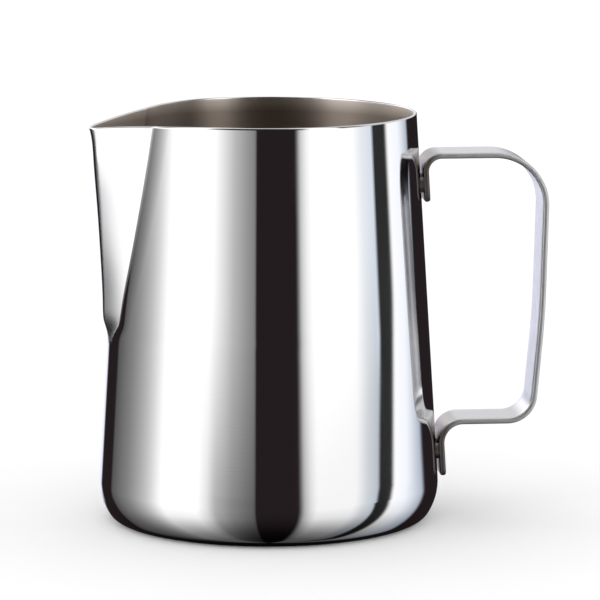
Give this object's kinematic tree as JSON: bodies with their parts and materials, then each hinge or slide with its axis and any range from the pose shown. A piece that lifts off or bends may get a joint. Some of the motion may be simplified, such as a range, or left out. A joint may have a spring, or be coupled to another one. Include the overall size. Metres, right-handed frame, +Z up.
{
  "type": "milk frothing pitcher",
  "caption": "Mirror-polished steel milk frothing pitcher: tapered round jug with a pressed V spout and a bent flat-bar handle spot-welded to its side.",
  "frame": {"origin": "centre of the jug's flat bottom, on the jug's axis, at the height of the surface it stands on", "axes": "+Z up the jug's axis, +X through the middle of the handle, -X through the tip of the spout"},
  "size_m": [0.1229, 0.0916, 0.11],
  "materials": {
    "mirror_steel": "stainless sheet, mirror polished outside, satin inside",
    "handle_steel": "stainless flat bar, tumble polished, slightly softer than the jug",
    "weld_steel": "bare resistance-weld metal, matt grey"
  },
  "bodies": {
    "root": {"jug_body": "mirror_steel", "handle_strap": "handle_steel", "upper_spot_welds": "weld_steel", "lower_spot_welds": "weld_steel"}
  },
  "joints": []
}
